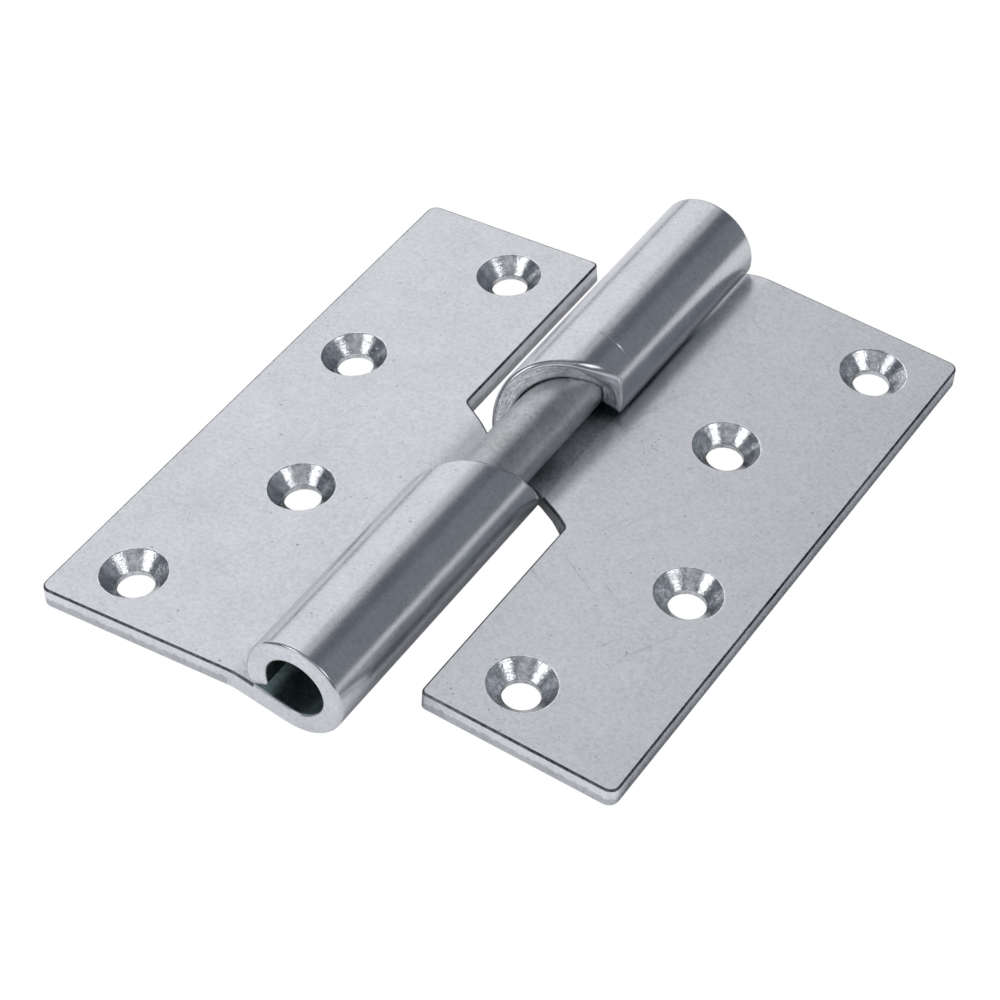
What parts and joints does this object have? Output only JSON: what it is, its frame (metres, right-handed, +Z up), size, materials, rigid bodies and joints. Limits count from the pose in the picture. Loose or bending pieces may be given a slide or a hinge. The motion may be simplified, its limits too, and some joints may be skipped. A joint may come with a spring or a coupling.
{
  "type": "rising butt hinge",
  "caption": "Lift-off rising butt hinge: pressed leaves with rolled knuckles that meet on a helical ramp and turn on a plain pin.",
  "frame": {"origin": "on the table under the pin axis, half-way along the open hinge", "axes": "+X across the open hinge towards the door leaf, +Y along the pin from its lower end to its upper end, +Z up out of the leaf faces"},
  "size_m": [0.0874, 0.1108, 0.0156],
  "materials": {
    "zinc_leaf": "bright zinc plating on pressed steel, satin, fine mottling",
    "zinc_pin": "zinc plated drawn steel rod, satin"
  },
  "bodies": {
    "frame_leaf": {"frame_leaf": "zinc_leaf"},
    "hinge_pin": {"hinge_pin": "zinc_pin"},
    "door_leaf": {"door_leaf": "zinc_leaf"}
  },
  "joints": [
    {"name": "leaf_swing", "type": "hinge", "parent": "frame_leaf", "child": "hinge_pin", "pos_m": [0, 0, 0.0078], "axis": [0, -1, 0], "range_deg": [0, 187.1]},
    {"name": "leaf_rise", "type": "slide", "parent": "hinge_pin", "child": "door_leaf", "axis": [0, 1, 0], "range_m": [-0.01225, 0]}
  ],
  "couplings": [
    {"joint": "leaf_rise", "follows": "leaf_swing", "m_per_rad": -0.0037401}
  ]
}
